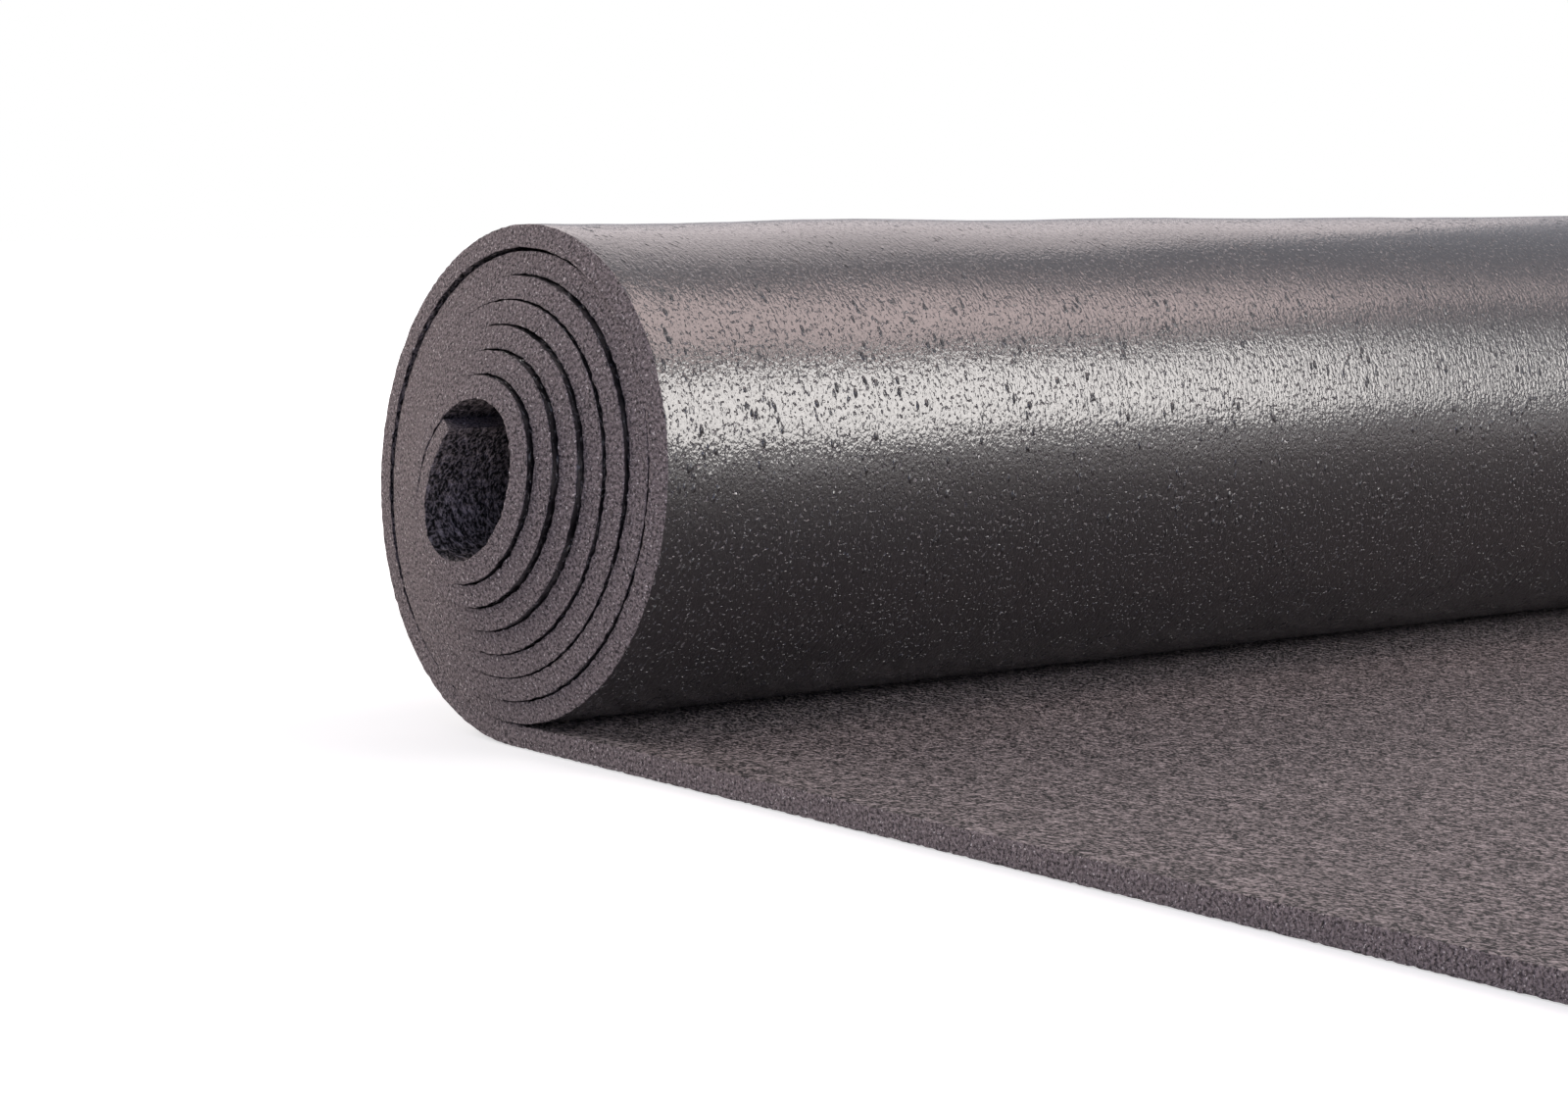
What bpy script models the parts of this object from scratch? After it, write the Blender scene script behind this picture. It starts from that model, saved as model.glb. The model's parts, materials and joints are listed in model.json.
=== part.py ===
"""A yoga mat, rolled up except for a flat tail that lies on the floor.

The sheet is a laminate: a base foam with a smooth skin, a woven scrim in the middle and a top
foam with the textured practice surface. The three layers run unbroken from the first bending
line of the tail, under the roll and round every turn to the tip in the core. The tail goes on
as a row of panels of the same three layers, hinged to each other, which stand for its bending.

Lengths are in metres. X runs along the roll's axis, the tail runs towards -Y and +Z is up.
A point of the sheet is given from the line where the sheet leaves the floor, at its left edge;
mat_frame then moves the whole mat so that the middle of its footprint is the origin.
"""

import math

import bmesh
import bpy
import numpy as np

# The sheet, as it was cut and laminated
MAT_LENGTH = 1.830
MAT_WIDTH = 0.610
BASE_FOAM = 0.0023
SCRIM = 0.0003
TOP_FOAM = 0.0015
BOND_GAP = 0.0002

# The roll: the textured side is wound inwards, and each turn walks a little sideways
TAIL_LENGTH = 0.370
CORE_RADIUS = 0.011
TURN_GAP = 0.00042
END_DRIFT = 0.0019
EDGE_FLARE = 0.0013
FLARE_TURN_SHARE = 0.5
POINTS_PER_TURN = 24

# The flexing tail: bending lines across the sheet, a thin cut at each one
FIRST_BEND = 0.040
BEND_GAP = 0.0003
PANEL_COUNT = 8

SHARP_ANGLE = math.radians(30)

# Heights of the layers above the underside
BASE_TOP = BASE_FOAM
SCRIM_LOW = BASE_TOP + BOND_GAP
SCRIM_TOP = SCRIM_LOW + SCRIM
TOP_LOW = SCRIM_TOP + BOND_GAP
THICKNESS = TOP_LOW + TOP_FOAM
PITCH = THICKNESS + TURN_GAP
PANEL_LENGTH = (TAIL_LENGTH - FIRST_BEND) / PANEL_COUNT

# Each layer: name, height of its lower face, height of its upper face
LAYERS = (
    ("base_foam", 0, BASE_TOP),
    ("scrim", SCRIM_LOW, SCRIM_TOP),
    ("top_foam", TOP_LOW, THICKNESS),
)

# Each layer's colour, linear, and its roughness
FINISHES = {
    "base_foam": ((0.105, 0.085, 0.090), 0.42),
    "scrim": ((0.420, 0.380, 0.385), 0.80),
    "top_foam": ((0.150, 0.125, 0.130), 0.85),
}


def turns_in_roll():
    """Turns that take up the rolled length.

    At mid-sheet a spiral of n turns from radius r is 2 pi r n + pi PITCH n squared long.
    """
    rolled = MAT_LENGTH - TAIL_LENGTH
    radius = CORE_RADIUS + THICKNESS / 2
    return (math.sqrt(radius * radius + PITCH * rolled / math.pi) - radius) / PITCH


TURNS = turns_in_roll()
OUTER_RADIUS = CORE_RADIUS + THICKNESS + PITCH * TURNS


def wound_line(height):
    """Left x, right x, y and z along the roll, of the surface at a height above the underside.

    The radius shrinks by one pitch in each turn, from the floor up the rear, over the top and
    down the front. Each turn sits one drift further left. The side that faces the core is
    squeezed by the bend, so it stands a flare proud of both cut edges. The tip is cut where the
    length ends, on the facet that it falls in, so the facets of all turns stay parallel.
    """
    steps = TURNS * POINTS_PER_TURN
    last = math.ceil(steps) - 1
    turn = np.arange(last + 2) / POINTS_PER_TURN
    angle = 2 * np.pi * turn
    radius = OUTER_RADIUS - PITCH * turn - height
    flare = EDGE_FLARE * height / THICKNESS * np.minimum(turn / FLARE_TURN_SHARE, 1)
    left = -END_DRIFT * turn - flare
    right = MAT_WIDTH - END_DRIFT * turn + flare
    y = radius * np.sin(angle)
    z = OUTER_RADIUS - radius * np.cos(angle)
    line = np.column_stack((left, right, y, z))
    line[-1] = line[last] + (steps - last) * (line[-1] - line[last])
    return line


def rolled_line(height):
    """The roll's line with the flat strip before it, which ends at the first bending line."""
    flat_end = (0, MAT_WIDTH, BEND_GAP / 2 - FIRST_BEND, height)
    return np.vstack((flat_end, wound_line(height)))


def panel_line(height, near, far):
    """A flat stretch of the tail between two distances from its bending line, at a height."""
    return np.array(((0, MAT_WIDTH, -far, height), (0, MAT_WIDTH, -near, height)))


def least_turn_gap():
    """Least distance between the smooth side of one turn and the textured side of the next."""
    smooth = wound_line(0)[:, 2:]
    textured = wound_line(THICKNESS)[:, 2:]
    start = textured[:-1]
    run = textured[1:] - start
    reach = smooth[:, None] - start
    along = (reach * run).sum(axis=2) / (run * run).sum(axis=1)
    nearest = start + np.clip(along, 0, 1)[:, :, None] * run
    return np.linalg.norm(smooth[:, None] - nearest, axis=2).min()


def footprint_centre():
    """Middle of the mat's box seen from above, in the sheet's own coordinates."""
    lines = np.vstack([rolled_line(height) for layer in LAYERS for height in layer[1:]])
    low = (lines[:, 0].min(), -TAIL_LENGTH)
    high = (lines[:, 1].max(), lines[:, 2].max())
    return (low[0] + high[0]) / 2, (low[1] + high[1]) / 2


def clear_scene():
    """Removes whatever the scene holds."""
    for old in list(bpy.data.objects):
        bpy.data.objects.remove(old)


def finish(layer):
    """The material of a layer, made once."""
    found = bpy.data.materials.get(layer)
    if found:
        return found
    material = bpy.data.materials.new(layer)
    material.use_nodes = True
    colour, roughness = FINISHES[layer]
    shader = material.node_tree.nodes["Principled BSDF"]
    shader.inputs["Base Color"].default_value = (*colour, 1)
    shader.inputs["Roughness"].default_value = roughness
    shader.inputs["Metallic"].default_value = 0
    return material


def empty(name, parent, place):
    """An empty that carries the pieces of one body."""
    holder = bpy.data.objects.new(name, None)
    bpy.context.scene.collection.objects.link(holder)
    holder.parent = parent
    holder.location = place
    return holder


def layer_solid(name, layer, parent, low, high):
    """Lofts a layer: a rectangle between its lower and upper line at each point, joined in a row."""
    bm = bmesh.new()
    rings = []
    for under, over in zip(low, high):
        corners = (
            (under[0], under[2], under[3]),
            (under[1], under[2], under[3]),
            (over[1], over[2], over[3]),
            (over[0], over[2], over[3]),
        )
        rings.append([bm.verts.new(corner) for corner in corners])
    bm.faces.new(rings[0])
    bm.faces.new(rings[-1])
    for ring, following in zip(rings, rings[1:]):
        for side in range(len(ring)):
            after = (side + 1) % len(ring)
            bm.faces.new((ring[side], ring[after], following[after], following[side]))
    bmesh.ops.recalc_face_normals(bm, faces=bm.faces)
    mesh = bpy.data.meshes.new(name)
    bm.to_mesh(mesh)
    bm.free()
    mesh.shade_smooth()
    mesh.set_sharp_from_angle(angle=SHARP_ANGLE)
    mesh.materials.append(finish(layer))
    piece = bpy.data.objects.new(name, mesh)
    bpy.context.scene.collection.objects.link(piece)
    piece.parent = parent
    return piece


def build_roll(mat_frame):
    """The roll and the short flat strip in front of it, each layer one unbroken piece."""
    for layer, low, high in LAYERS:
        layer_solid(f"roll_{layer}", layer, mat_frame, rolled_line(low), rolled_line(high))


def build_tail(mat_frame):
    """The tail's panels, each hung on the one before at its bending line in the upper face."""
    carrier = mat_frame
    place = (0, -FIRST_BEND, THICKNESS)
    for number in range(1, PANEL_COUNT + 1):
        bend = empty(f"bend_{number}", carrier, place)
        near = BEND_GAP / 2
        last = number == PANEL_COUNT
        far = PANEL_LENGTH if last else PANEL_LENGTH - BEND_GAP / 2
        for layer, low, high in LAYERS:
            under = panel_line(low - THICKNESS, near, far)
            over = panel_line(high - THICKNESS, near, far)
            layer_solid(f"tail_{number}_{layer}", layer, bend, under, over)
        carrier = bend
        place = (0, -PANEL_LENGTH, 0)


def main():
    """Builds the mat and prints what its sizes lead to."""
    clear_scene()
    centre_x, centre_y = footprint_centre()
    mat_frame = empty("mat_frame", None, (-centre_x, -centre_y, 0))
    build_roll(mat_frame)
    build_tail(mat_frame)
    print(f"turns {TURNS:.3f}, outer radius {OUTER_RADIUS * 1000:.2f} mm")
    print(f"least gap of the winding to itself {least_turn_gap() * 1000:.3f} mm")
    print(f"lift-off line at x {-centre_x:.6f}, y {-centre_y:.6f}")
    for number in range(PANEL_COUNT):
        print(f"bend {number + 1} at y {-centre_y - FIRST_BEND - number * PANEL_LENGTH:.6f}, z {THICKNESS:.6f}")


main()
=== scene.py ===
# %% [markdown]
# # A yoga mat, rolled up but for its tail
# The mat is one long sheet: two plies of cellular vinyl foam, fused together through a thin
# woven net. The smooth ply is outside on the roll, and the grippy ply with the embossed practice
# surface is wound inwards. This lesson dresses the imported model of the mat: every ply is worked
# out again as a fine surface, and every finish is a material made of nodes.

# %% Load the frame
import json
import math

import bpy
import numpy as np
from mathutils import Matrix, Vector

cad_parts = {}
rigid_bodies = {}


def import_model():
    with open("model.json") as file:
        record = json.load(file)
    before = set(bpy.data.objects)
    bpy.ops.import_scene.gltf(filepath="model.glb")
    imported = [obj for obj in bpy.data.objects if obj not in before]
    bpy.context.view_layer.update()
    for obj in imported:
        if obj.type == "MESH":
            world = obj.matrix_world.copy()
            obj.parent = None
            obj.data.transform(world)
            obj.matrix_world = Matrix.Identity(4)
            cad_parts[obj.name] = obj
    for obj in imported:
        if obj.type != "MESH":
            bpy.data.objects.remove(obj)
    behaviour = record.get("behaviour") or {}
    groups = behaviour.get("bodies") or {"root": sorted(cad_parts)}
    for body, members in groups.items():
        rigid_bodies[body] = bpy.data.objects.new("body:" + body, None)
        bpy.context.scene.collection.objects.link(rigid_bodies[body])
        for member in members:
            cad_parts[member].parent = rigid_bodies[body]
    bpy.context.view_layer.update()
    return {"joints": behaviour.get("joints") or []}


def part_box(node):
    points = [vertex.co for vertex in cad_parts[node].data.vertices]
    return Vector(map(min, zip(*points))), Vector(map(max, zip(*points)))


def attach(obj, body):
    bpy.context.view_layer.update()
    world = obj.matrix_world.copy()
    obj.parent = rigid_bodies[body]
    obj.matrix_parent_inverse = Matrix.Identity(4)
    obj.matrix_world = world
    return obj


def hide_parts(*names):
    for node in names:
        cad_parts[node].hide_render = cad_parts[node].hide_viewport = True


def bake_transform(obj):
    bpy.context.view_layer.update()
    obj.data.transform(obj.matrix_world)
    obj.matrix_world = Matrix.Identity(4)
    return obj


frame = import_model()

# %% [markdown]
# ## The sheet and how it is wound
# Everything is placed from the sheet itself. A point of the mat has three numbers: how far it
# lies across the sheet from the left cut edge, how far along it from the line where the sheet
# leaves the floor, and how high above the underside. The tail has negative distances along.
# The frame says where the sheet lies and how big the roll is, and a few numbers say how it is
# wound.

# %% Sizes of the sheet and of the winding, in metres
MM = 0.001
PLY_LINE = 2.73 * MM
LAID_THICKNESS = 4.7 * MM
PITCH = 4.64 * MM

LEFT_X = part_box("tail_1_top_foam")[0].x
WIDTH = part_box("tail_1_top_foam")[1].x - LEFT_X
ROLL_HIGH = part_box("roll_base_foam")[1]
OUTER_RADIUS = (ROLL_HIGH.z + PITCH / 2) / 2
AXIS_Y = ROLL_HIGH.y - (OUTER_RADIUS - PITCH / 4)
print(f"width {WIDTH / MM:.1f} mm, outer radius {OUTER_RADIUS / MM:.2f} mm, axis at y {AXIS_Y:.4f}")

# %% [markdown]
# ## The line of the winding
# A wound sheet is a spiral that comes nearer to the axis by one pitch a turn. The roll of a soft
# mat is never quite round: it sags a little towards the rear of its foot and the front of its
# top, and the outer turn lies loose round the others, so that a slit opens above and behind
# them. The line is kept as a table over the turns. Its values are the distances from the axis to
# the straight line that touches the turn in each direction. Described this way, turns that touch
# all round stay a fixed distance apart, and a ply keeps its thickness in every bend.

# %% The winding as a table over its turns
TURNS = 7.413
OVAL = 2.4 * MM
LOOSE = 0.5 * MM
LOOSE_SIDE = math.radians(135)
ENTRY = (0.7, 1.1)
TABLE_ROWS = 4001
MID_PLY = 2.25 * MM


def eased(value, start, stop):
    """Smooth step from 0 at start to 1 at stop."""
    share = np.clip((value - start) / (stop - start), 0, 1)
    return share * share * (3 - 2 * share)


TURN = np.linspace(0, TURNS, TABLE_ROWS)
ANGLE = 2 * np.pi * TURN
SLIT = LOOSE * eased(TURN, *ENTRY) * (1 + np.cos(ANGLE - LOOSE_SIDE)) / 2
REACH = OUTER_RADIUS - PITCH * TURN + OVAL * np.sin(2 * ANGLE) - SLIT
SLOPE = np.gradient(REACH, ANGLE)
BEND_RADIUS = REACH + np.gradient(SLOPE, ANGLE) - MID_PLY
LENGTHS = (BEND_RADIUS[1:] + BEND_RADIUS[:-1]) / 2 * np.diff(ANGLE)
ALONG = np.append(0, np.cumsum(LENGTHS))
ROLLED_LENGTH = ALONG[-1]
FOOT_Y = AXIS_Y + SLOPE[0]
print(f"{TURNS} turns take {ROLLED_LENGTH / MM:.0f} mm, tightest bend {BEND_RADIUS.min() / MM:.1f} mm")

# %% [markdown]
# ## From the flat sheet to the roll
# Two habits of a real roll show at its end. The hand lets the turns walk sideways, so the core
# stands out of one end, by an uneven amount for each turn. The bend squeezes the inner ply, which
# bulges out of the cut. The wound sheet is also a little thinner than the flat one, and its tip
# was cut at a slant. All of this is one function of the three numbers, so every ply, yarn and
# edge that goes through it lands in its place.

# %% Place of a point of the sheet
WALK_TURNS = (0, 0.25, 0.5, 0.75, 1.25, 1.6, 1.7, 1.9, 2.75, 3.75, 4.75, 5.75, 6.75)
WALK = np.array([0, 0.69, 0.97, 0.9, 0.8, 1.15, 1.6, 2.7, 3.8, 5.5, 7.9, 10.3, 12.6]) * MM
FLARE = 1.05 * MM
FLARE_REACH = 4 * MM
FLARE_TURNS = 0.5
LUMP = 0.16 * MM
LUMP_LENGTH = 90 * MM
LUMP_SKEW = 3
THINNED = 0.04
THINNED_FROM = -30 * MM
THINNED_TO = -5 * MM
SLANT = 0.45
TIP_THINNED = 0.2
TIP_LENGTH = 8 * MM
RIPPLE_SPREAD = (0.7, 1.5)
LUMP_SEED, BROAD_SEED, SMALL_SEED, PAD_SEED, NIBBLE_SEED, CUT_SEED = 3, 11, 12, 13, 14, 21


def ripples(u, v, length, seed, count=24):
    """Sum of sine waves of about this length with random headings and phases.

    It is divided by the root of half their count, so that its own spread is about 1.
    """
    random = np.random.default_rng(seed)
    heading = random.uniform(0, 2 * np.pi, count)
    phase = random.uniform(0, 2 * np.pi, count)
    number = 2 * np.pi / (length * random.uniform(*RIPPLE_SPREAD, count))
    total = 0
    for turned, start, waves in zip(heading, phase, number):
        total = total + np.sin(waves * (u * np.cos(turned) + v * np.sin(turned)) + start)
    return total / math.sqrt(count / 2)


def wound(across, along, height):
    """Place of a point of the sheet.

    The angle of the touching line runs from the floor up the rear. The point lies along that
    line's normal by its reach, less the height, and along the line by the reach's slope. Lumps
    swell all turns alike and die out at the floor. Across, the point walks left with the turns,
    and near a cut edge it is pushed out by the flare, which grows with the height.
    """
    tip = eased(along, ROLLED_LENGTH - TIP_LENGTH, ROLLED_LENGTH)
    thin = 1 - THINNED * eased(along, THINNED_FROM, THINNED_TO) - TIP_THINNED * tip
    turn = np.interp(along - SLANT * (LAID_THICKNESS - height) * tip, ALONG, TURN)
    angle = 2 * np.pi * turn
    lift = (1 - np.cos(angle)) / 2
    round_x = OUTER_RADIUS * np.cos(angle)
    round_y = OUTER_RADIUS * np.sin(angle)
    lump = ripples(across + round_x, round_y + across / LUMP_SKEW, LUMP_LENGTH, LUMP_SEED)
    reach = np.interp(turn, TURN, REACH) - height * thin + LUMP * lift * lump
    slope = np.interp(turn, TURN, SLOPE)
    push = FLARE * height / LAID_THICKNESS * np.minimum(turn / FLARE_TURNS, 1)
    push = push * (np.exp((across - WIDTH) / FLARE_REACH) - np.exp(-across / FLARE_REACH))
    x = LEFT_X + across - np.interp(turn, WALK_TURNS, WALK) + push
    y = AXIS_Y + reach * np.sin(angle) + slope * np.cos(angle) + np.minimum(along, 0)
    z = OUTER_RADIUS - reach * np.cos(angle) + slope * np.sin(angle)
    return np.stack(np.broadcast_arrays(x, y, z), axis=-1)


print(f"the core stands {(WALK[-1] + FLARE) / MM:.1f} mm proud of the outer turn")

# %% [markdown]
# ## A ply as a ring carried along the sheet
# A ply's cross-section is a long thin ring: its lower face, the right cut, its upper face and
# the left cut, with each corner rounded a little, because a blade never leaves foam dead sharp.
# The ring is carried along the sheet. Its columns crowd towards the cuts, where the eye is, and
# they come in three densities. Where the density changes, one row of many-sided faces joins the
# rings, so that the ply stays one unbroken piece as the real one is.

# %% The ring of a ply
CELLS = 288
WALL, SHOWN, HIDDEN = 1, 3, 48
CROWDING = 0.88
EVEN = np.linspace(0, 1, CELLS + 1)
COLUMNS = EVEN - CROWDING * np.sin(2 * np.pi * EVEN) / (2 * np.pi)
BLADE_ROUND = 0.16 * MM
BOND_ROUND = 0.02 * MM
BOND_LINE = 0.01 * MM
ARC = np.radians([30, 60, 90])
DEPTHS = np.array([0.12, 0.5, 0.88])
CUT_POINTS = 2 * len(ARC) + len(DEPTHS)
LOWER, CUT, UPPER = 0, 1, 2


def ring(low, high, low_round, high_round, step):
    """Across, height and the side that follows each point of a ply's ring, anticlockwise.

    Corners are arcs of 30, 60 and 90 degrees, and every step-th column is kept on the faces.
    """
    columns = COLUMNS[::step]
    face = columns * (WIDTH - 2 * low_round) + low_round
    top = (columns * (WIDTH - 2 * high_round) + high_round)[::-1]
    straight = low + low_round + DEPTHS * (high - low - low_round - high_round)
    out_low = low_round * (1 - np.sin(ARC))
    out_high = high_round * (1 - np.sin(ARC[::-1]))
    out = np.concatenate((out_low, 0 * DEPTHS, out_high))
    up_low = low + low_round * (1 - np.cos(ARC))
    up_high = high - high_round * (1 - np.cos(ARC[::-1]))
    up = np.concatenate((up_low, straight, up_high))
    across = np.concatenate((face, WIDTH - out, top, out[::-1]))
    height = np.concatenate((0 * face + low, up, 0 * top + high, up[::-1]))
    faced = len(columns) - 1
    cut = [CUT] * (CUT_POINTS + 1)
    return across, height, np.array([LOWER] * faced + cut + [UPPER] * faced + cut)


for step in (WALL, SHOWN, HIDDEN):
    ring_points = len(ring(0, PLY_LINE, BLADE_ROUND, BOND_ROUND, step)[0])
    print("step", step, "has", ring_points, "points in a ring")

# %% [markdown]
# ## Faces between the rings
# The faces are index arithmetic. Between two rings of one density each face has four corners.
# Between a fine and a coarse ring, each coarse cell of a face takes all the fine points opposite
# to it. The ends are closed column by column, the lower face to the upper one.

# %% Faces between rings, at a change of density and over an end


def band_faces(first, second, count):
    """Quads between two rings that start at these vertex numbers, each with count points."""
    here = np.arange(count)
    after = (here + 1) % count
    return np.stack((first + here, first + after, second + after, second + here), axis=1)


def joining_faces(fine, coarse, count, ratio, fine_first):
    """Faces between a fine ring of count points and a coarse ring that keeps 1 in ratio columns."""
    columns = count // 2 - CUT_POINTS
    half = np.append(np.arange(0, columns, ratio), np.arange(columns, columns + CUT_POINTS))
    pick = np.concatenate((half, half + count // 2, [count]))
    faces = []
    for place, (start, stop) in enumerate(zip(pick, pick[1:])):
        run = list(fine + np.arange(start, stop + 1) % count)
        after = (place + 1) % (len(pick) - 1)
        face = run + [coarse + after, coarse + place]
        faces.append(face if fine_first else face[::-1])
    return faces


def end_faces(start, count):
    """Faces that close a ply's end: quads from column to column and one face at each cut."""
    columns = count // 2 - CUT_POINTS
    low = np.arange(columns)
    high = count // 2 + columns - 1 - low
    quads = np.stack((low[:-1], high[:-1], high[1:], low[1:]), axis=1) + start
    right = np.arange(count // 2, columns - 2, -1) + start
    left = np.append([0], np.arange(count - 1, high[0] - 1, -1)) + start
    return [list(face) for face in quads] + [list(right), list(left)]


shown_points = len(ring(0, PLY_LINE, BLADE_ROUND, BOND_ROUND, SHOWN)[0])
print("an end has", len(end_faces(0, shown_points)), "faces")

# %% [markdown]
# ## What the blade, the rollers and handling leave
# The skin of the outer turn has shallow dents, 5 to 14 mm wide. The cut edges are a little
# ragged where the blade broke through the cells, most of all at the two skins, which tore. Crumbs
# of skin came away there too, so both skins sink a little beside a cut, by an uneven amount. The
# practice surface is embossed with oval pads, 1.6 mm apart across the sheet and 3.1 mm along it,
# in staggered rows. In the mouth of the core and beside the cuts the mesh is fine enough to
# carry the pads. Elsewhere the material makes them, at the same size.

# %% Relief of the faces and of the cuts
DENT = 0.035 * MM
DENT_BROAD = 14 * MM
DENT_SMALL = 5 * MM
BROAD_SHARE = 0.6
RAGGED = 0.03 * MM
TORN = 0.08 * MM
TORN_SKIN_SHARE = 0.3
TORN_DEPTH = 0.4 * MM
TEAR_LENGTH = 1.9 * MM
NIBBLED = 0.09 * MM
NIBBLE_LENGTH = 1.5 * MM
NIBBLE_REACH = 0.9 * MM
NIBBLE_DEPTH = 0.5 * MM
NIBBLE_LEVEL = 0.6
PAD_ACROSS = 1.6 * MM
PAD_ALONG = 3.1 * MM
PAD_DEPTH = 0.3 * MM
PAD_WANDER = 0.35
PAD_WANDER_LENGTH = 9 * MM


def skin_relief(across, along):
    """Depth of the dents in the skin: 1 plus broad and small ripples, where that is above 0."""
    broad = ripples(across, along, DENT_BROAD, BROAD_SEED)
    small = ripples(across, along, DENT_SMALL, SMALL_SEED)
    return DENT * np.maximum(BROAD_SHARE * broad + (1 - BROAD_SHARE) * small + 1, 0)


def pad_relief(across, along):
    """Depth of the grooves between pads: a product of two staggered waves that wander in phase."""
    wander = PAD_WANDER * ripples(across, along, PAD_WANDER_LENGTH, PAD_SEED)
    row = along / PAD_ALONG + wander
    column = across / PAD_ACROSS + row / 2 + wander
    pads = (1 + np.cos(2 * np.pi * column)) * (1 + np.cos(2 * np.pi * row)) / 4
    return PAD_DEPTH * (1 - pads)


def cut_relief(along, height):
    """How far the cut face stands proud: short ripples that grow towards the two skins."""
    skins = np.exp((height - LAID_THICKNESS) / TORN_DEPTH)
    skins = skins + TORN_SKIN_SHARE * np.exp(-height / TORN_DEPTH)
    return (RAGGED + TORN * skins) * ripples(along, height, TEAR_LENGTH, CUT_SEED)


def nibbles(across, along, height, inset):
    """How far the lost crumbs move a point up or down: both skins sink towards mid-sheet.

    The depth is a ripple above a level, and it dies out with the inset from the cut edge.
    """
    ripple = ripples(across, along, NIBBLE_LENGTH, NIBBLE_SEED)
    depth = NIBBLED * np.maximum(NIBBLE_LEVEL + ripple, 0)
    below = np.exp(-height / NIBBLE_DEPTH)
    above = np.exp((height - LAID_THICKNESS) / NIBBLE_DEPTH)
    return depth * np.exp(-inset / NIBBLE_REACH) * (below - above)


print(f"dents {DENT / MM:.3f} mm, pads {PAD_DEPTH / MM:.2f} mm, nibbles {NIBBLED / MM:.2f} mm deep")

# %% [markdown]
# ## From rings to a mesh
# Each stretch of the sheet is a row of stations with rings of one density. The stretches are
# computed as whole arrays and joined, and foreach_set puts them into the mesh. Every vertex also
# keeps its three numbers, in millimetres, as an attribute: the materials read them, so a pattern
# lies on the sheet as it did before the mat was rolled.

# %% Mesh of a ply
SHARP_ANGLE = math.radians(40)


def put_mesh(name, points, laid, faces, kinds, materials):
    """A closed object from points, their laid coordinates, faces and a material for each."""
    lengths = np.array([len(face) for face in faces])
    starts = np.concatenate(([0], np.cumsum(lengths)[:-1]))
    corners = np.concatenate([np.asarray(face) for face in faces])
    mesh = bpy.data.meshes.new(name)
    mesh.vertices.add(len(points))
    mesh.vertices.foreach_set("co", points.astype(np.float32).ravel())
    mesh.loops.add(len(corners))
    mesh.loops.foreach_set("vertex_index", corners.astype(np.int32))
    mesh.polygons.add(len(faces))
    mesh.polygons.foreach_set("loop_start", starts.astype(np.int32))
    mesh.polygons.foreach_set("material_index", np.asarray(kinds, np.int32))
    mesh.update(calc_edges=True)
    attribute = mesh.attributes.new("laid", "FLOAT_VECTOR", "POINT")
    attribute.data.foreach_set("vector", (laid / MM).astype(np.float32).ravel())
    for material in materials:
        mesh.materials.append(material)
    mesh.shade_smooth()
    mesh.set_sharp_from_angle(angle=SHARP_ANGLE)
    piece = bpy.data.objects.new(name, mesh)
    bpy.context.scene.collection.objects.link(piece)
    print(f"{name}: {(lengths - 2).sum()} triangles")
    return piece


def laid_ring(along, section, step, pad_reach):
    """Places and laid coordinates of the rings at some stations, and the sides of a ring.

    The cuts are pushed out by their relief, and the faces sunk by dents, pads and nibbles.
    """
    across, height, sides = ring(*section, step)
    along = np.broadcast_to(along[:, None], (len(along), len(across)))
    across = np.broadcast_to(across, along.shape)
    height = np.broadcast_to(height, along.shape)
    inset = np.minimum(across, WIDTH - across)
    edge = np.exp(-inset / BLADE_ROUND) * np.sign(across - WIDTH / 2)
    pushed = across + cut_relief(along, height) * edge
    dented = skin_relief(across, along) * (height == 0)
    pads = pad_relief(across, along) * (height == LAID_THICKNESS) * np.exp(-inset / pad_reach)
    sunk = nibbles(across, along, height, inset)
    places = wound(pushed, along, height + dented - pads + sunk)
    return places.reshape(-1, 3), np.stack((across, along, height), axis=-1).reshape(-1, 3), sides


def ply(name, stretches, section, materials, pad_reach):
    """A closed ply over stretches, each an array of stations along and the step of its columns."""
    points, laid, faces, kinds = [], [], [], []
    start = 0
    for number, (along, step) in enumerate(stretches):
        places, numbers, sides = laid_ring(along, section, step, pad_reach)
        points.append(places)
        laid.append(numbers)
        count = len(sides)
        if number == 0:
            faces += [face[::-1] for face in end_faces(start, count)]
            kinds += [CUT] * len(faces)
        elif step > last_step:
            faces += joining_faces(last, start, last_count, step // last_step, True)
            kinds += list(sides)
        else:
            faces += joining_faces(start, last, count, last_step // step, False)
            kinds += list(last_sides)
        for first in range(start, start + (len(along) - 1) * count, count):
            faces += list(band_faces(first, first + count, count))
            kinds += list(sides)
        last = start + (len(along) - 1) * count
        last_count, last_step, last_sides = count, step, sides
        start += len(along) * count
    closing = end_faces(last, last_count)
    faces += closing
    kinds += [CUT] * len(closing)
    return put_mesh(name, np.concatenate(points), np.concatenate(laid), faces, kinds, materials)


# %% [markdown]
# ## Colours and a helper for nodes
# Colours are written as they look, as sRGB hex values, and turned linear once. One small
# function adds a node with its settings and its links.

# %% Colour and node helpers


def colour(text):
    """Linear colour of an sRGB hex value: each channel goes through the sRGB curve."""
    channels = np.array([int(text[place : place + 2], 16) for place in (1, 3, 5)]) / 255
    linear = np.where(channels > 0.04045, ((channels + 0.055) / 1.055) ** 2.4, channels / 12.92)
    return (*(float(channel) for channel in linear), 1.0)


def add(tree, kind, links=None, **settings):
    """Adds a node: settings are its properties, links its sockets' values or sources."""
    node = tree.nodes.new(kind)
    for name, value in settings.items():
        setattr(node, name, value)
    for socket, value in (links or {}).items():
        if isinstance(value, bpy.types.NodeSocket):
            tree.links.new(value, node.inputs[socket])
        else:
            node.inputs[socket].default_value = value
    return node


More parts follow.
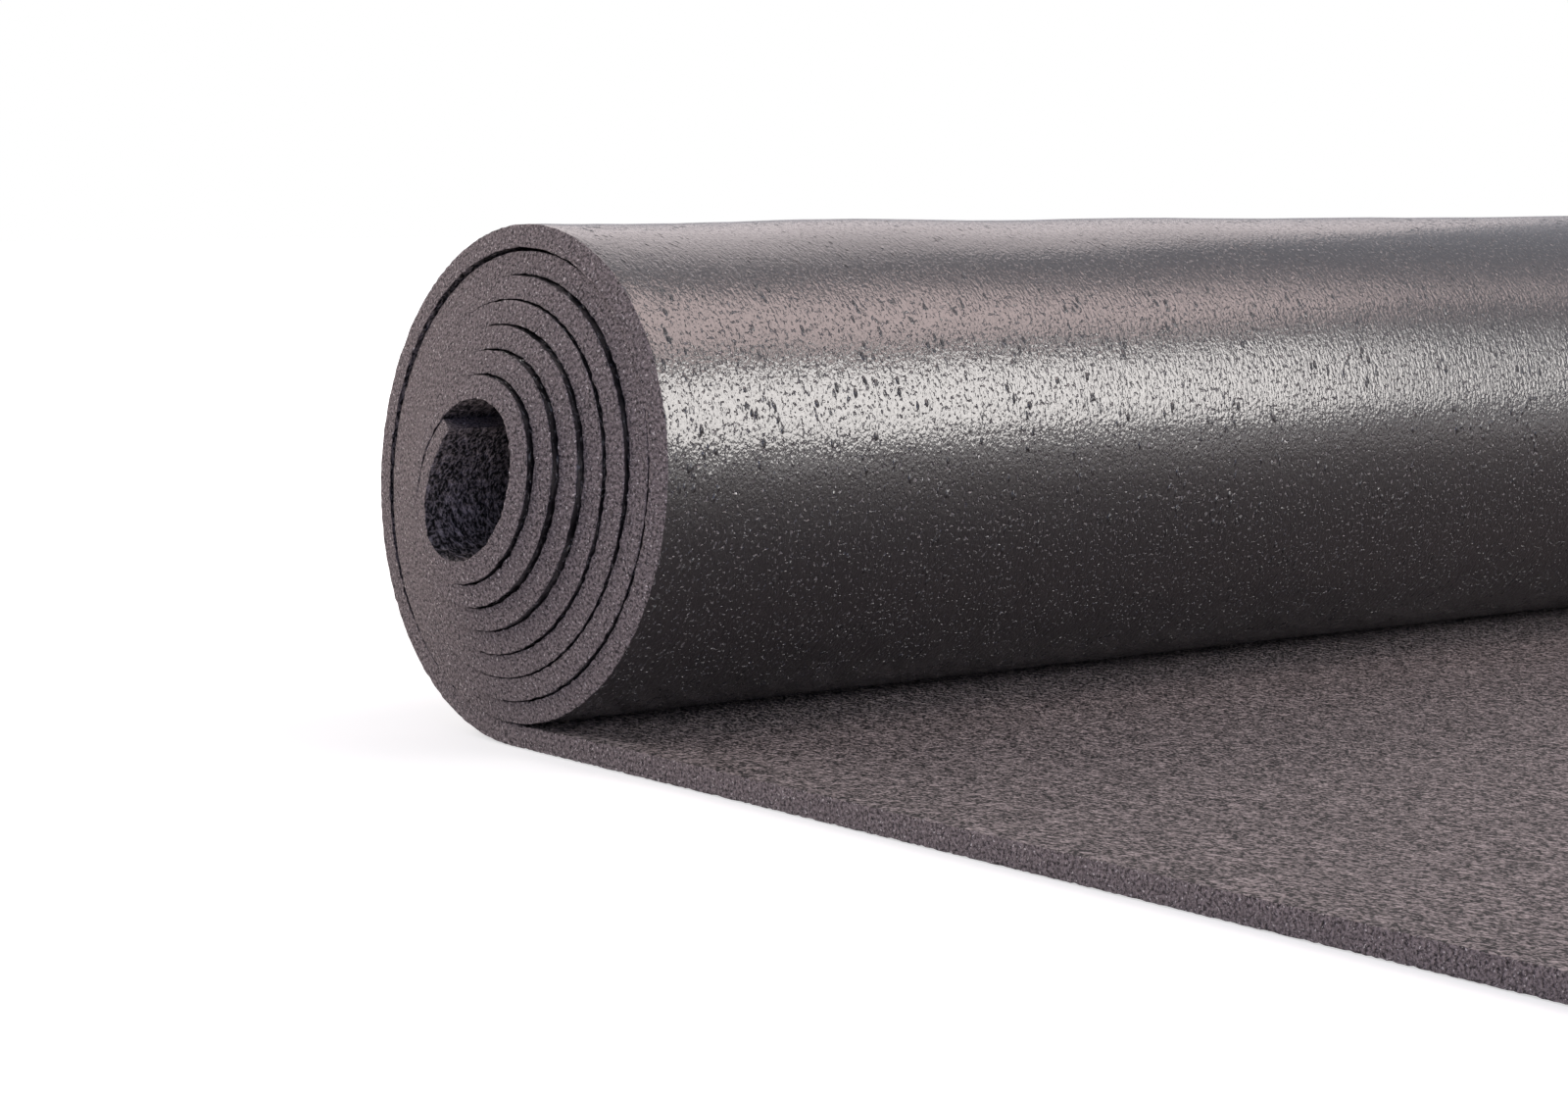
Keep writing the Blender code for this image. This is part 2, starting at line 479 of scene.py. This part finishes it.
def new_material(name):
    """A material with an empty Principled shader: its tree, its shader and the laid point."""
    material = bpy.data.materials.new(name)
    material.use_nodes = True
    tree = material.node_tree
    shader = tree.nodes["Principled BSDF"]
    laid = add(tree, "ShaderNodeAttribute", attribute_name="laid", attribute_type="GEOMETRY")
    return material, tree, shader, laid.outputs["Vector"]


# %% [markdown]
# ## Calendered vinyl skin
# The outside of the roll is the mat's smooth side. Hot rollers pressed the foam's surface into a
# thin closed skin and left a leathery grain: strokes a millimetre wide and two or three long that
# follow the length of the sheet, with a finer pepper between them and a few open pits, whose shade
# is painted near black. In loose patches small steep grains stand up. They sparkle below the
# bright band and look like dark dots inside it, and a paler colour painted on them adds painted
# glints to that sparkle. The skin is near black, and plasticiser at its surface gives it a satin
# gloss, so a clear coat lies over it. Pepper and grains are drawn a little coarser than they are.

# %% Material of the skin


def eased_range(tree, value, low, high, to_low=0.0, to_high=1.0):
    """Output of a smooth map of a value from low..high to to_low..to_high."""
    sockets = {"Value": value, "From Min": low, "From Max": high, "To Min": to_low, "To Max": to_high}
    return add(tree, "ShaderNodeMapRange", sockets, interpolation_type="SMOOTHSTEP").outputs[0]


def in_sizes(tree, point, size):
    """A laid point counted in these three sizes, given in millimetres."""
    sockets = {0: point, 1: tuple(1 / side for side in size)}
    return add(tree, "ShaderNodeVectorMath", sockets, operation="MULTIPLY").outputs[0]


def noise(tree, point, size, detail=2.0, roughness=0.6):
    """Noise whose grains have these three sizes, in millimetres, at a laid point."""
    sockets = {
        "Vector": in_sizes(tree, point, size), "Scale": 1.0,
        "Detail": detail, "Roughness": roughness,
    }
    return add(tree, "ShaderNodeTexNoise", sockets).outputs["Fac"]


def blend(tree, share, first, second):
    """A mix of two values, or of two colours given as sRGB hex."""
    if isinstance(first, str) or isinstance(second, str):
        first = colour(first) if isinstance(first, str) else first
        second = colour(second) if isinstance(second, str) else second
        mixed = add(tree, "ShaderNodeMix", {0: share, 6: first, 7: second}, data_type="RGBA")
        return mixed.outputs[2]
    return add(tree, "ShaderNodeMix", {0: share, 2: first, 3: second}).outputs[0]


def voronoi(tree, point, size):
    """Distance to the nearest cell centre for cells of these three sizes, in millimetres."""
    sockets = {"Vector": in_sizes(tree, point, size), "Scale": 1.0}
    return add(tree, "ShaderNodeTexVoronoi", sockets).outputs["Distance"]


def relief(tree, shader, parts):
    """Bumps a shader by parts, each a value and its height in millimetres, added together."""
    total = 0.0
    for value, height in parts:
        sockets = {0: value, 1: height, 2: total}
        total = add(tree, "ShaderNodeMath", sockets, operation="MULTIPLY_ADD").outputs[0]
    bump = add(tree, "ShaderNodeBump", {"Height": total, "Strength": 1.0, "Distance": MM})
    tree.links.new(bump.outputs[0], shader.inputs["Normal"])
    tree.links.new(bump.outputs[0], shader.inputs["Coat Normal"])


def vinyl_skin():
    """Strokes, pepper and steep paler grains raise the skin, and pits break it in clusters."""
    material, tree, shader, laid = new_material("calendered_vinyl_skin")
    strokes = noise(tree, laid, (0.8, 2.6, 1.0))
    pepper = noise(tree, laid, (0.66, 0.8, 1.0), 1.0)
    patches = eased_range(tree, noise(tree, laid, (5.0, 8.0, 5.0)), 0.38, 0.62, 0.2, 1.0)
    grains = eased_range(tree, noise(tree, laid, (0.8, 1.0, 2.0), 1.0), 0.59, 0.69)
    steep = add(tree, "ShaderNodeMath", {0: grains, 1: patches}, operation="MULTIPLY").outputs[0]
    clusters = eased_range(tree, noise(tree, laid, (9.0, 14.0, 9.0)), 0.48, 0.6)
    wobbly = blend(tree, 0.4, voronoi(tree, laid, (1.7, 3.2, 100.0)), strokes)
    pitted = blend(tree, clusters, 1.0, eased_range(tree, wobbly, 0.18, 0.38))
    relief(tree, shader, ((strokes, 0.12), (pepper, 0.1), (steep, 0.6), (pitted, 0.5)))
    pressed = blend(tree, strokes, "#0F0E10", "#1E1B1E")
    # The steep grains' paler colour is a painted glint, and the pits' near-black colour is painted
    # shade.
    grain_glints_and_pit_shade = blend(tree, pitted, "#0A090A", blend(tree, steep, pressed, "#6E6A6C"))
    tree.links.new(grain_glints_and_pit_shade, shader.inputs["Base Color"])
    polish = blend(tree, pitted, 0.8, eased_range(tree, pepper, 0.35, 0.65, 0.38, 0.28))
    tree.links.new(polish, shader.inputs["Roughness"])
    shader.inputs["IOR"].default_value = 1.6
    shader.inputs["Coat Weight"].default_value = 1.0
    shader.inputs["Coat Roughness"].default_value = 0.12
    shader.inputs["Coat IOR"].default_value = 1.6
    return material


SKIN = vinyl_skin()
print("made", SKIN.name)

# %% [markdown]
# ## Embossed practice surface
# A mesh belt pressed the other side while the foam was soft, and it stays matt and grippy. Its
# oval pads stand in staggered rows. A fine fibrous grain covers them, the grooves between them are
# painted darker as shade, and here and there a bubble has burst into a small pit, painted black as
# shade.

# %% Material of the practice surface


def practice_surface():
    """Pads are the cells of a slightly random lattice, which a shear staggers row by row."""
    material, tree, shader, laid = new_material("embossed_vinyl_foam")
    parts = add(tree, "ShaderNodeSeparateXYZ", {0: laid})
    row = add(tree, "ShaderNodeMath", {0: parts.outputs[1], 1: MM / PAD_ALONG}, operation="MULTIPLY")
    half_row = add(tree, "ShaderNodeMath", {0: row.outputs[0], 1: 0.5}, operation="MULTIPLY")
    sockets = {0: parts.outputs[0], 1: MM / PAD_ACROSS, 2: half_row.outputs[0]}
    column = add(tree, "ShaderNodeMath", sockets, operation="MULTIPLY_ADD")
    lattice = add(tree, "ShaderNodeCombineXYZ", {0: column.outputs[0], 1: row.outputs[0]})
    sockets = {"Vector": lattice.outputs[0], "Scale": 1.0, "Smoothness": 0.5, "Randomness": 0.6}
    pads = add(tree, "ShaderNodeTexVoronoi", sockets, feature="SMOOTH_F1")
    raised = eased_range(tree, pads.outputs["Distance"], 0.1, 0.6, 1.0, 0.0)
    grain = noise(tree, laid, (0.55, 0.85, 1.0), 1.0)
    pits = eased_range(tree, noise(tree, laid, (1.0, 1.7, 1.0), 1.0), 0.3, 0.38)
    relief(tree, shader, ((raised, 0.4), (grain, 0.75), (pits, 0.3)))
    fibrous = eased_range(tree, grain, 0.42, 0.58)
    # The grooves between the pads are painted darker as shade, mixed with the fibrous grain's own
    # tone.
    tone = blend(tree, 0.52, raised, fibrous)
    grain_and_groove_shade = blend(tree, tone, "#070606", "#A69B9B")
    # The burst pits are painted near black as shade.
    tree.links.new(blend(tree, pits, "#151214", grain_and_groove_shade), shader.inputs["Base Color"])
    shader.inputs["Roughness"].default_value = 0.6
    shader.inputs["IOR"].default_value = 1.5
    return material


PRACTICE = practice_surface()
print("made", PRACTICE.name)

# %% [markdown]
# ## Cut cellular foam
# The blade opens the cells of the foam. From close by the cut is a fine grain of pale cell walls
# and pores, whose shade is painted dark, with a painted highlight, a pale speck, where a wall would
# catch the light. Real cells are half a millimetre and less, too fine for a picture of this size, so
# they are drawn a little coarser.

# %% Material of the cuts


def cut_foam():
    """Cell walls are a fine noise in space, pores and specks are where two others pass a level."""
    material, tree, shader, laid = new_material("cut_cellular_foam")
    walls = eased_range(tree, noise(tree, laid, (0.6, 0.6, 0.6), 3.0, 0.7), 0.36, 0.62)
    pores = eased_range(tree, noise(tree, laid, (0.7, 0.8, 0.6), 1.0), 0.3, 0.46)
    specks = eased_range(tree, noise(tree, laid, (0.7, 0.7, 0.7), 1.0), 0.64, 0.72)
    clouds = eased_range(tree, noise(tree, laid, (3.5, 5.0, 3.5)), 0.3, 0.7)
    relief(tree, shader, ((walls, 0.1), (pores, 0.16), (specks, 0.1)))
    # Pores are painted dark as shade in them, and the specks are painted highlights where a wall would
    # catch the light.
    dull = blend(tree, walls, "#484141", "#9C9090")
    dull = blend(tree, pores, "#2D2829", dull)
    clouded = blend(tree, blend(tree, 0.7, clouds, 0.0), dull, "#786E6E")
    tree.links.new(blend(tree, specks, clouded, "#D6CDCB"), shader.inputs["Base Color"])
    shader.inputs["Roughness"].default_value = 0.85
    shader.inputs["IOR"].default_value = 1.45
    return material


CUT_FOAM = cut_foam()
print("made", CUT_FOAM.name)

# %% [markdown]
# ## Polyester yarn
# The net in the middle keeps the foam from stretching. It is woven of thin polyester yarn, spun
# and twisted, and all that shows of it is an end here and there: a pale point in the middle of a
# cut edge.

# %% Material of the yarn


def polyester_yarn():
    """Twist is a slanting wave over the yarn, about one turn in a millimetre."""
    material, tree, shader, laid = new_material("polyester_yarn")
    sockets = {"Vector": laid, "Scale": 0.6, "Distortion": 1.0, "Detail": 1.0}
    twist = add(tree, "ShaderNodeTexWave", sockets, bands_direction="DIAGONAL")
    shade = blend(tree, twist.outputs["Fac"], "#8E8586", "#CFC7C5")
    tree.links.new(shade, shader.inputs["Base Color"])
    shader.inputs["Roughness"].default_value = 0.55
    shader.inputs["IOR"].default_value = 1.58
    return material


YARN = polyester_yarn()
print("made", YARN.name)

# %% [markdown]
# ## The two foam plies of the roll
# The smooth ply shows its skin on the outer turn only, so its rings are fine up to a little past
# one turn. The grippy ply shows in the flat strip before the roll, at both cuts and on the wall
# of the core, where the rings have the most columns. The rolled part doesn't bend, and both plies
# ride on the roll, with half of the flat strip before it. The tail's first length takes the rest.

# %% Plies of the roll
ROOT_MIDDLE = -22 * MM
STRIP_STEP = 1 * MM
SKIN_STEP = 1.15 * MM
HIDDEN_STEP = 1.3 * MM
CORE_STEP = 1.1 * MM
SKIN_TURNS = 1.04
CORE_TURNS = 1.0
EDGE_PADS = 3 * MM
WALL_PADS = 30 * MM
SMOOTH_SECTION = (0.0, PLY_LINE - BOND_LINE, BLADE_ROUND, BOND_ROUND)
GRIPPY_SECTION = (PLY_LINE + BOND_LINE, LAID_THICKNESS, BOND_ROUND, BLADE_ROUND)


def stations(start, stop, step):
    """Evenly spaced stations from start to stop, about a step apart."""
    return np.linspace(start, stop, round((stop - start) / step) + 1)


SKIN_END = float(np.interp(SKIN_TURNS, TURN, ALONG))
CORE_START = float(np.interp(TURNS - CORE_TURNS, TURN, ALONG))
skin_part = np.append(stations(ROOT_MIDDLE, 0, STRIP_STEP), stations(0, SKIN_END, SKIN_STEP)[1:])
smooth_ply = ply(
    "roll_smooth_ply",
    [(skin_part, SHOWN), (stations(SKIN_END + HIDDEN_STEP, ROLLED_LENGTH, HIDDEN_STEP), HIDDEN)],
    SMOOTH_SECTION, (SKIN, CUT_FOAM, CUT_FOAM), EDGE_PADS,
)
grippy_ply = ply(
    "roll_grippy_ply",
    [
        (stations(ROOT_MIDDLE, 0, STRIP_STEP), SHOWN),
        (stations(HIDDEN_STEP, CORE_START - HIDDEN_STEP, HIDDEN_STEP), HIDDEN),
        (stations(CORE_START, ROLLED_LENGTH, CORE_STEP), WALL),
    ],
    GRIPPY_SECTION, (CUT_FOAM, CUT_FOAM, PRACTICE), WALL_PADS,
)
for piece, layer in ((smooth_ply, "base_foam"), (grippy_ply, "top_foam")):
    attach(piece, "roll")
    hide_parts(f"roll_{layer}")

# %% [markdown]
# ## The tail's plies
# The tail bends, so it is made in eight lengths, one for each joint. A length starts in the
# middle of one panel and ends in the middle of the next, with the joint between them inside it.
# Neighbours share the same ring where they meet, so no seam shows.

# %% Lengths of the tail, from the joints
TAIL_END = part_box("tail_8_top_foam")[0].y - FOOT_Y
bends = [joint["pos_m"][1] - FOOT_Y for joint in frame["joints"]]
middles = [(near + far) / 2 for near, far in zip(bends, bends[1:] + [TAIL_END])]
lengths = []
for joint, start, stop in zip(frame["joints"], [ROOT_MIDDLE] + middles, middles):
    piece_end = TAIL_END if joint is frame["joints"][-1] else stop
    lengths.append((joint["parent"], joint["child"], start, stop, piece_end))
print("tail lengths, in mm:", [round((start - end) / MM, 1) for _, _, start, _, end in lengths])

# %% Plies of the tail


def bend_with(piece):
    """Bakes a piece of the tail's placement into its mesh."""
    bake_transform(piece)


for parent, child, start, stop, end in lengths:
    along = stations(end, start, STRIP_STEP)
    number = child.split("_")[1]
    smooth = ply(
        f"tail_smooth_ply_{number}", [(along, SHOWN)], SMOOTH_SECTION,
        (SKIN, CUT_FOAM, CUT_FOAM), EDGE_PADS,
    )
    grippy = ply(
        f"tail_grippy_ply_{number}", [(along, SHOWN)], GRIPPY_SECTION,
        (CUT_FOAM, CUT_FOAM, PRACTICE), EDGE_PADS,
    )
    for piece, layer in ((smooth, "base_foam"), (grippy, "top_foam")):
        bend_with(piece)
        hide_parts(f"{child}_{layer}")

# %% [markdown]
# ## The net between the plies
# The net is woven of single yarns. The weft runs from cut to cut. The blade dragged most of its
# ends into the foam, and a few stand out by a hair. The warp runs along the mat, under the weft,
# and ends at the tail's cut and at the tip. All the yarns of a piece are one mesh, worked out at
# once: a small circle is added to each yarn's line before the winding is applied, so they follow
# the sheet without more work. The warp's straight stretches are shorter where the bend is
# tighter, so that each leaves its curve by no more than 0.18 mm.

# %% Yarns as tubes
YARN_RADIUS = 0.15 * MM
WEFT_SPACING = 2.4 * MM
WARP_SPACING = 7.2 * MM
ENDS_PROUD = (-0.2 * MM, 0.07 * MM)
SIDES = 4
CROSSING = 0.12 * MM
CHORD_BULGE = 0.18 * MM
WEFT_JITTER = 0.1
NET_SEED = 31
STRIP_WARP_STEP = 10 * MM
TAIL_WARP_STEP = 5 * MM


def tube_faces(yarns, rings):
    """Faces of equal tubes whose vertices come yarn by yarn and ring by ring, with their ends."""
    here = np.arange(SIDES)
    after = (here + 1) % SIDES
    first = (np.arange(yarns)[:, None] * rings + np.arange(rings - 1)).ravel()[:, None] * SIDES
    second = first + SIDES
    bands = np.stack((first + here, first + after, second + after, second + here), axis=-1)
    near = (np.arange(yarns) * rings * SIDES)[:, None] + here[::-1]
    far = (np.arange(yarns) * rings * SIDES + (rings - 1) * SIDES)[:, None] + here
    return list(bands.reshape(-1, 4)) + list(near) + list(far)


def yarn_tubes(across, along, height, weft):
    """Laid coordinates of tubes round the lines in these arrays, one line in each row.

    A circle of the yarn's radius is added to the height and to the direction across the yarn.
    """
    angle = np.arange(SIDES) * 2 * np.pi / SIDES
    aside = YARN_RADIUS * np.cos(angle)
    up = height + YARN_RADIUS * np.sin(angle)
    across, along = np.broadcast_arrays(across[..., None], along[..., None])
    if weft:
        return np.stack(np.broadcast_arrays(across, along + aside, up), axis=-1)
    return np.stack(np.broadcast_arrays(across + aside, along, up), axis=-1)


def net(name, start, stop, stations_along):
    """The net between two distances along: weft yarns, and warp yarns through the stations."""
    random = np.random.default_rng(NET_SEED)
    first, last = math.ceil(start / WEFT_SPACING), math.ceil(stop / WEFT_SPACING)
    every = np.arange(first, last) * WEFT_SPACING
    weft_across = np.tile(COLUMNS[::HIDDEN] * WIDTH, (len(every), 1))
    weft_across[:, 0] -= random.uniform(*ENDS_PROUD, len(every))
    weft_across[:, -1] += random.uniform(*ENDS_PROUD, len(every))
    every = every + random.uniform(-WEFT_JITTER, WEFT_JITTER, len(every)) * WEFT_SPACING
    weft_along = every[:, None] + 0 * weft_across
    weft = yarn_tubes(weft_across, weft_along, PLY_LINE + CROSSING, True)
    warp_across = (np.arange(0.5, WIDTH / WARP_SPACING) * WARP_SPACING)[:, None]
    warp_across, warp_along = np.broadcast_arrays(warp_across, stations_along)
    warp = yarn_tubes(warp_across, warp_along, PLY_LINE - CROSSING, False)
    laid = np.concatenate((weft.reshape(-1, 3), warp.reshape(-1, 3)))
    faces = tube_faces(*weft.shape[:2])
    faces += [face + weft.size // 3 for face in tube_faces(*warp.shape[:2])]
    places = wound(laid[:, 0], laid[:, 1], laid[:, 2])
    return put_mesh(name, places, laid, faces, np.zeros(len(faces)), (YARN,))


# %% Nets of the roll and of the tail
CHORDS = np.sqrt(8 * CHORD_BULGE * BEND_RADIUS)
PACES = np.append(0, np.cumsum(2 * LENGTHS / (CHORDS[1:] + CHORDS[:-1])))
rolled_along = np.interp(np.linspace(0, PACES[-1], round(PACES[-1]) + 1), PACES, ALONG)
roll_along = np.append(stations(ROOT_MIDDLE, 0, STRIP_WARP_STEP), rolled_along[1:])
roll_net = net("roll_net", ROOT_MIDDLE, ROLLED_LENGTH, roll_along)
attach(roll_net, "roll")
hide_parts("roll_scrim")
for parent, child, start, stop, end in lengths:
    number = child.split("_")[1]
    tail_net = net(f"tail_net_{number}", end, start, stations(end, start, TAIL_WARP_STEP))
    bend_with(tail_net)
    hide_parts(f"{child}_scrim")

# %% [markdown]
# ## White room
# The mat lies on a white floor that runs on into white. The floor is plain white paint, and for
# the camera alone a glow lifts it to white. Close to the mat the glow is weaker, so that the
# soft shadow beside the mat stays. The room itself is a grey-white world, and the camera sees it
# as white.

# %% Floor and world
FLOOR_SIZE = 8.0
GLOW_NEAR, GLOW_FAR = 0.59, 0.95
GLOW_FROM, GLOW_TO = 0.3, 0.75
FLOOR_DROP = 0.2 * MM
WORLD_STRENGTH = 0.43


def white_floor():
    """A matt white floor whose camera rays a glow lifts, which grows with distance from the mat."""
    material = bpy.data.materials.new("white_painted_floor")
    material.use_nodes = True
    tree = material.node_tree
    tree.nodes.clear()
    paint = add(tree, "ShaderNodeBsdfDiffuse", {"Color": colour("#C9C8C9")})
    place = add(tree, "ShaderNodeTexCoord").outputs["Object"]
    far = add(tree, "ShaderNodeVectorMath", {0: place}, operation="LENGTH").outputs["Value"]
    strength = eased_range(tree, far, GLOW_FROM, GLOW_TO, GLOW_NEAR, GLOW_FAR)
    glow = add(tree, "ShaderNodeEmission", {"Color": (1, 1, 1, 1), "Strength": strength})
    lit = add(tree, "ShaderNodeAddShader", {0: paint.outputs[0], 1: glow.outputs[0]})
    path = add(tree, "ShaderNodeLightPath")
    mixed = add(
        tree, "ShaderNodeMixShader",
        {0: path.outputs["Is Camera Ray"], 1: paint.outputs[0], 2: lit.outputs[0]},
    )
    add(tree, "ShaderNodeOutputMaterial", {"Surface": mixed.outputs[0]})
    return material


half = FLOOR_SIZE / 2
floor_corners = [(-half, -half, 0), (half, -half, 0), (half, half, 0), (-half, half, 0)]
floor_mesh = bpy.data.meshes.new("floor")
floor_mesh.from_pydata(floor_corners, [], [(0, 1, 2, 3)])
floor_mesh.materials.append(white_floor())
floor = bpy.data.objects.new("floor", floor_mesh)
bpy.context.scene.collection.objects.link(floor)
floor.location.z = -FLOOR_DROP

world = bpy.data.worlds.new("white_room")
bpy.context.scene.world = world
world.use_nodes = True
room = world.node_tree
room.nodes.clear()
soft = add(
    room, "ShaderNodeBackground", {"Color": colour("#EBEDF8"), "Strength": WORLD_STRENGTH},
)
bright = add(room, "ShaderNodeBackground", {"Color": (1, 1, 1, 1), "Strength": 1.0})
seen = add(room, "ShaderNodeLightPath")
either = add(
    room, "ShaderNodeMixShader",
    {0: seen.outputs["Is Camera Ray"], 1: soft.outputs[0], 2: bright.outputs[0]},
)
add(room, "ShaderNodeOutputWorld", {"Surface": either.outputs[0]})
print("floor of", FLOOR_SIZE, "m, world at", WORLD_STRENGTH, "with white behind")

# %% [markdown]
# ## Softboxes
# Five softboxes shape the mat. The key stands low at the front right, and the satin skin
# reflects it to the camera as the bright band along the roll. A second box hangs overhead, and a
# third stands behind and rims the top. A fill close to the wound end, at the rear left, lights
# its cut. A cool window light comes in low from the front left and reaches into the core. Each is
# given by its radiance, on the scale where white is 1, and its power follows.

# %% Lights
NEAR_ROLL = (-0.2, AXIS_Y, OUTER_RADIUS)


def softbox(name, tint, direction, distance, width, height, radiance):
    """A rectangle that faces the roll's near end: power is pi times its area and radiance."""
    light = bpy.data.lights.new(name, "AREA")
    light.shape = "RECTANGLE"
    light.size = width
    light.size_y = height
    light.energy = math.pi * width * height * radiance
    light.color = colour(tint)[:3]
    holder = bpy.data.objects.new(name, light)
    bpy.context.scene.collection.objects.link(holder)
    toward = Vector(direction).normalized()
    holder.location = Vector(NEAR_ROLL) + distance * toward
    holder.rotation_euler = toward.to_track_quat("Z", "Y").to_euler()


softbox("key", "#FFFAF6", (0.58, -0.846, 0.342), 1.08, 0.66, 0.58, 6.9)
softbox("overhead", "#FFE6E1", (0.57, -0.36, 1.03), 1.24, 0.66, 0.88, 3.15)
softbox("behind", "#FFEDE9", (0.5, 0.75, 0.57), 1.8, 1.5, 1.25, 0.76)
softbox("fill", "#FFF4EE", (-0.62, 0.75, 0.5), 0.95, 0.8, 0.7, 3.0)
softbox("window", "#98AFFF", (-0.55, -0.8, 0.15), 1.3, 0.7, 0.7, 1.4)
print("softboxes:", [lamp.name for lamp in bpy.data.lights])

# %% [markdown]
# ## Camera
# The camera stands low at the front left, with the angle of the reference view: it looks 38
# degrees to the right of straight on and a little down, with a lens of about 79 mm.

# %% Camera
YAW = math.radians(38.10)
PITCH_DOWN = math.radians(6.375)
TILT = math.radians(0.38)
LENS = 78.87
STAND = Vector((-0.6628, -0.3876, 0.1125))

camera_data = bpy.data.cameras.new("camera")
camera_data.sensor_width = 36.0
camera_data.lens = LENS
camera_data.clip_end = 50.0
camera = bpy.data.objects.new("camera", camera_data)
bpy.context.scene.collection.objects.link(camera)
flat = math.cos(PITCH_DOWN)
look = Vector((math.sin(YAW) * flat, math.cos(YAW) * flat, -math.sin(PITCH_DOWN)))
level = Vector((math.cos(YAW), -math.sin(YAW), 0))
over = level.cross(look)
right = math.cos(TILT) * level + math.sin(TILT) * over
upward = math.cos(TILT) * over - math.sin(TILT) * level
turned = Matrix((right, upward, -look)).transposed().to_4x4()
camera.matrix_world = Matrix.Translation(STAND) @ turned
bpy.context.scene.camera = camera
bpy.context.scene.view_settings.view_transform = "Standard"
print("camera at", tuple(round(value, 3) for value in STAND))
